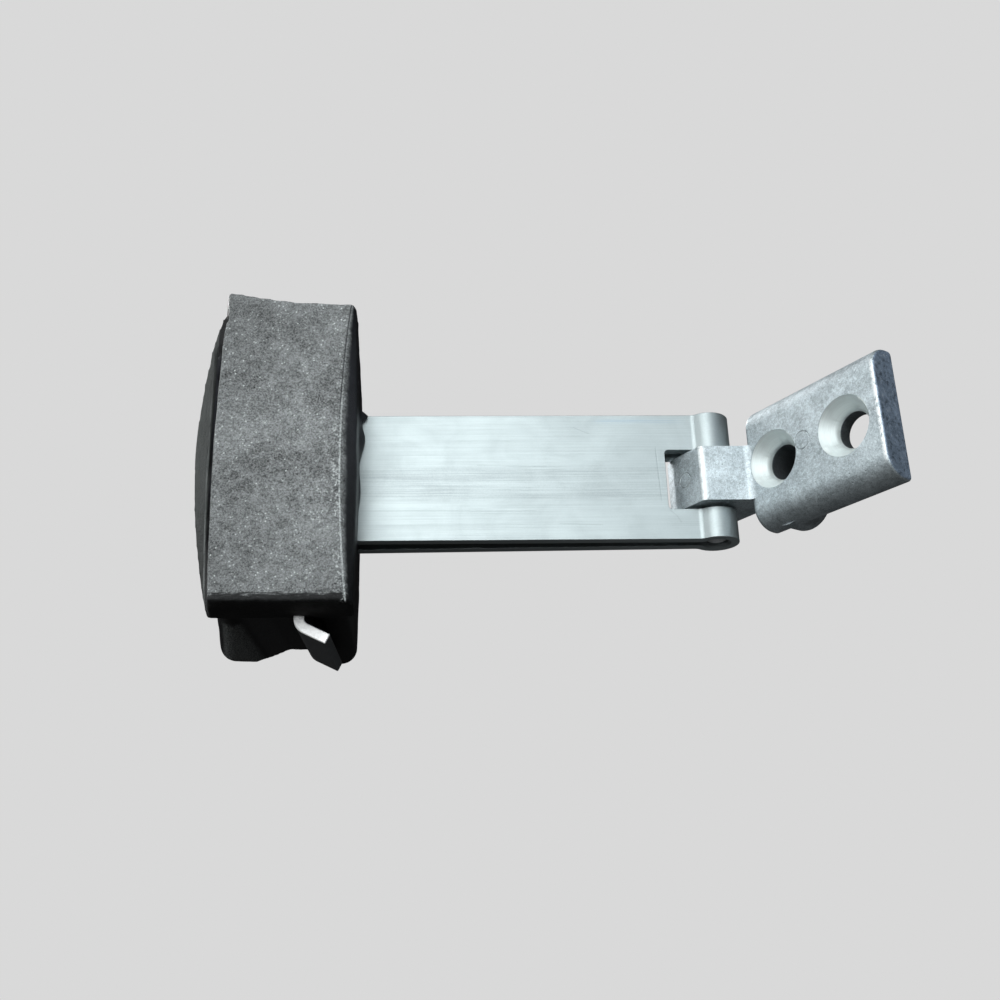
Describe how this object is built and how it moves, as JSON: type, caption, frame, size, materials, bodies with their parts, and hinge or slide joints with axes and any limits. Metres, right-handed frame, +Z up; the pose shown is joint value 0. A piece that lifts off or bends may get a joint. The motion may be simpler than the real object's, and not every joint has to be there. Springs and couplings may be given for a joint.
{
  "type": "car door limiter strap",
  "caption": "Folded steel door limiter strap hinged on a pin in a cast pillar bracket with countersunk screw holes, with a moulded rubber buffer on its far end.",
  "frame": {"origin": "on the bracket's mounting face, midway between the two screw holes", "axes": "+X along the plate away from the hinge, +Y out of the mounting face into the door pillar, +Z up along the hinge pin"},
  "size_m": [0.1482, 0.1363, 0.0912],
  "materials": {
    "cast_bracket": "as-cast skin, mottled, satin, scuffed on its edges",
    "plated_strap": "bright plated sheet with fine drawn lines along its length",
    "steel_pin": "bright, peened at its ends",
    "steel_retainer": "bright cut edges, satin faces",
    "black_rubber": "matt moulded rubber, grained, greyed on its front face"
  },
  "bodies": {
    "bracket": {"pillar_bracket": "cast_bracket"},
    "strap": {"strap": "plated_strap", "hinge_pin": "steel_pin", "rubber_buffer": "black_rubber", "retainer_plate": "steel_retainer"}
  },
  "joints": [
    {"name": "strap_hinge", "type": "hinge", "parent": "bracket", "child": "strap", "pos_m": [-0.03046, -0.01094, 0], "axis": [0, 0, 1], "range_deg": [-45, 75]}
  ]
}
